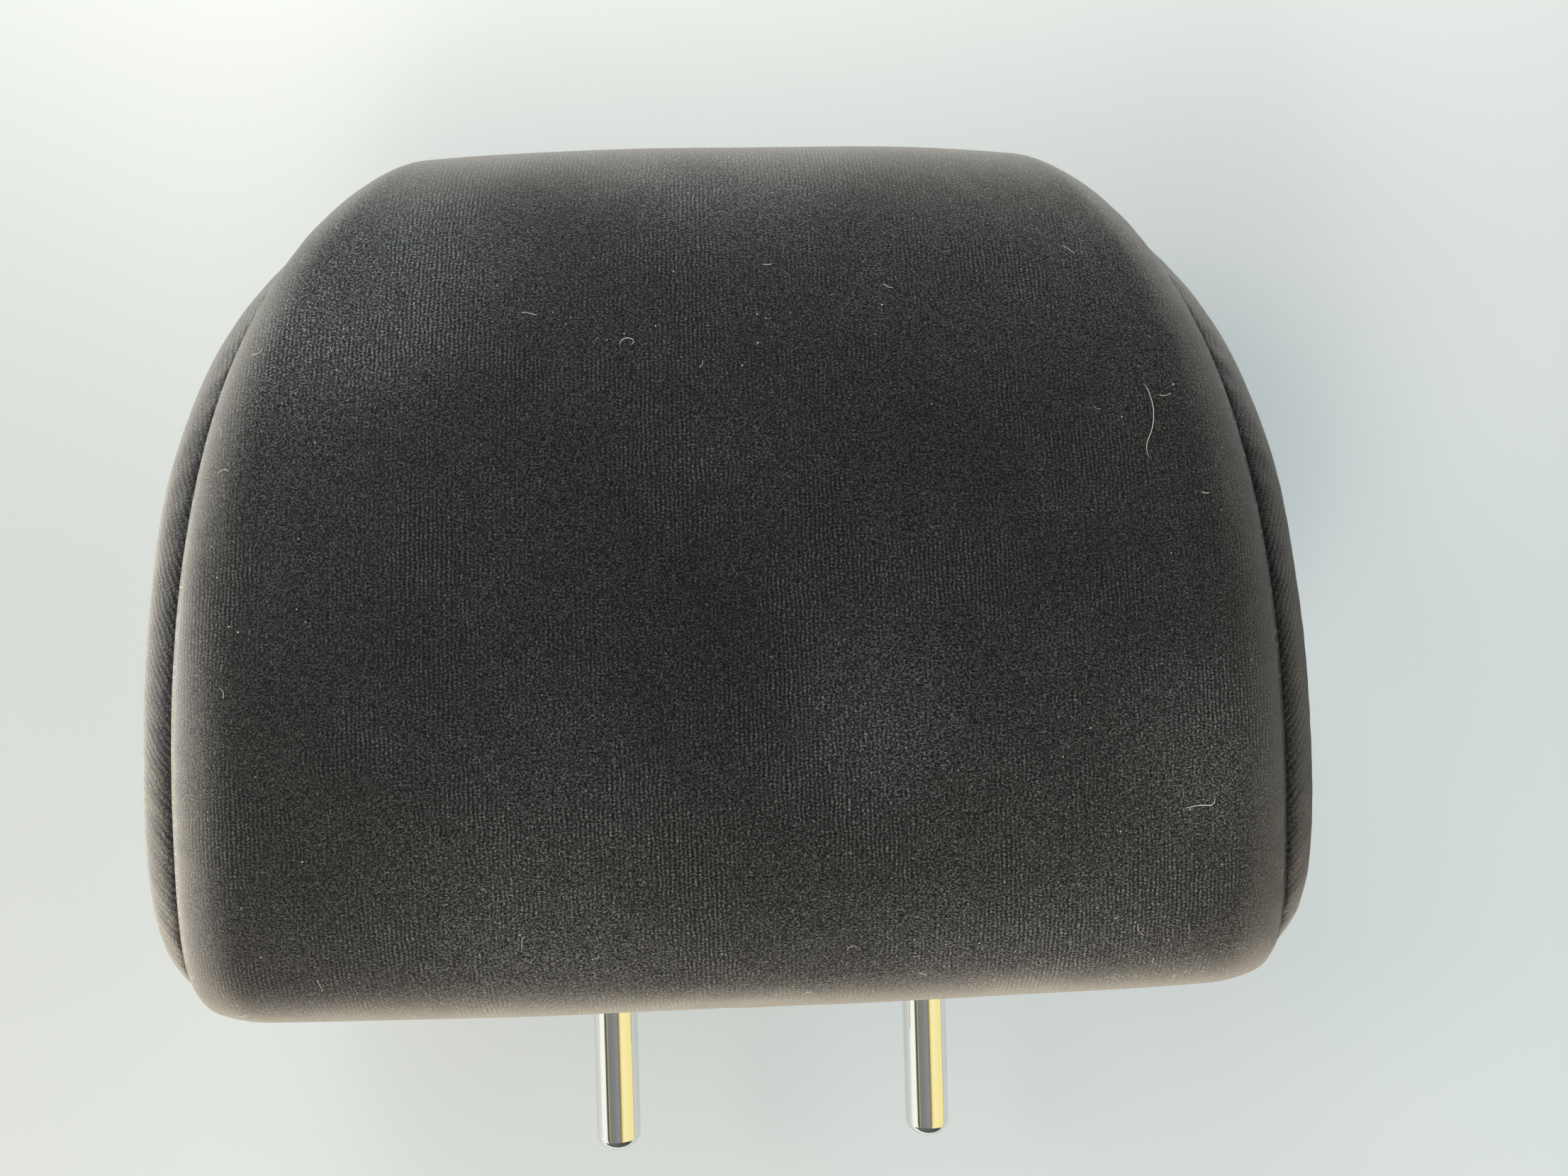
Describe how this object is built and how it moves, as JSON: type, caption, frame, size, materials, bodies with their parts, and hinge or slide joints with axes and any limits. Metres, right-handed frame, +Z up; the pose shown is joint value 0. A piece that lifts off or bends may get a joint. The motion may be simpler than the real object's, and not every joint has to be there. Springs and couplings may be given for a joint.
{
  "type": "car head restraint",
  "caption": "Padded head restraint for a car's rear seat: a fabric cushion with side gussets on a bent rod whose ends are bare chromed posts.",
  "frame": {"origin": "midway between the two posts, on their axes, in the plane of the cushion's underside", "axes": "+Z up along the posts, -Y towards the occupant's head (the cushion's front face), +X to the right as seen from the front"},
  "size_m": [0.2798, 0.1195, 0.2665],
  "materials": {
    "chrome": "polished chrome plate",
    "steel": "bare drawn steel",
    "foam": "moulded open-cell polyurethane foam",
    "fabric": "short-pile charcoal velour knit",
    "black_plastic": "fine grained black"
  },
  "bodies": {
    "root": {"stay_rod": "chrome", "frame_wire": "steel", "head_plate": "steel", "foam_core": "foam", "centre_panel": "fabric", "left_gusset": "fabric", "right_gusset": "fabric", "left_post_collar": "black_plastic", "right_post_collar": "black_plastic", "left_collar_ring": "black_plastic", "right_collar_ring": "black_plastic", "front_closing_strip": "black_plastic", "rear_closing_strip": "black_plastic"}
  },
  "joints": []
}
